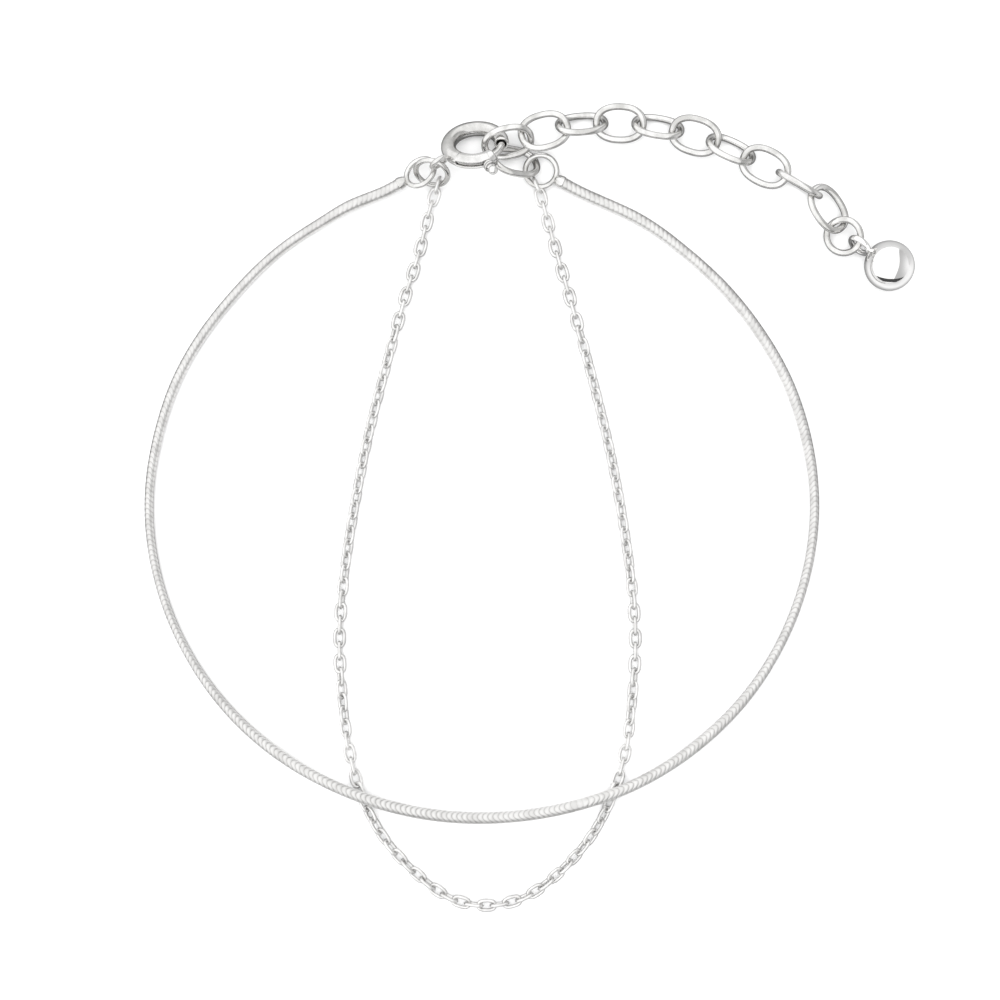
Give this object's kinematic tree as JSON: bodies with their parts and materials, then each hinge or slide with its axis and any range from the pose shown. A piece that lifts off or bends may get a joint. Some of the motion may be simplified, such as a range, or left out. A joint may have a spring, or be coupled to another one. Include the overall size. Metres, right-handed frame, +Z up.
{
  "type": "chain bracelet",
  "caption": "Double-strand silver bracelet: a round snake chain and a fine cable chain on one spring-ring clasp, with an extender of oval links and a ball.",
  "frame": {"origin": "on the table, under the middle of the whole bracelet's outline", "axes": "+Z up off the table, +Y from the middle of the loop to the clasp, +X to the side on which the extender lies"},
  "size_m": [0.064, 0.0672, 0.0052],
  "materials": {
    "polished_silver": "polished",
    "chain_silver": "polished, woven and linked"
  },
  "bodies": {
    "bracelet": {"snake_chain": "chain_silver", "fine_chain": "chain_silver", "fine_chain_left_link": "chain_silver", "fine_chain_right_link": "chain_silver", "left_end_ring": "polished_silver", "right_end_ring": "polished_silver", "clasp_jump_ring": "polished_silver", "spring_ring": "polished_silver", "connector_link": "polished_silver", "extender_link_1": "polished_silver", "extender_link_2": "polished_silver", "extender_link_3": "polished_silver", "extender_link_4": "polished_silver", "extender_link_5": "polished_silver", "extender_link_6": "polished_silver", "extender_link_7": "polished_silver", "extender_link_8": "polished_silver", "extender_link_9": "polished_silver", "extender_link_10": "polished_silver", "end_jump_ring": "polished_silver", "ball_drop": "polished_silver"},
    "trigger": {"clasp_trigger": "polished_silver"}
  },
  "joints": [
    {"name": "clasp_trigger_slide", "type": "hinge", "parent": "bracelet", "child": "trigger", "pos_m": [-0.00445, 0.03017, 0.00218], "axis": [0.0877, -0.7088, -0.6999], "range_deg": [0, 55], "stiffness_Nm_per_rad": 0.0005, "springref_deg": -17.19}
  ]
}
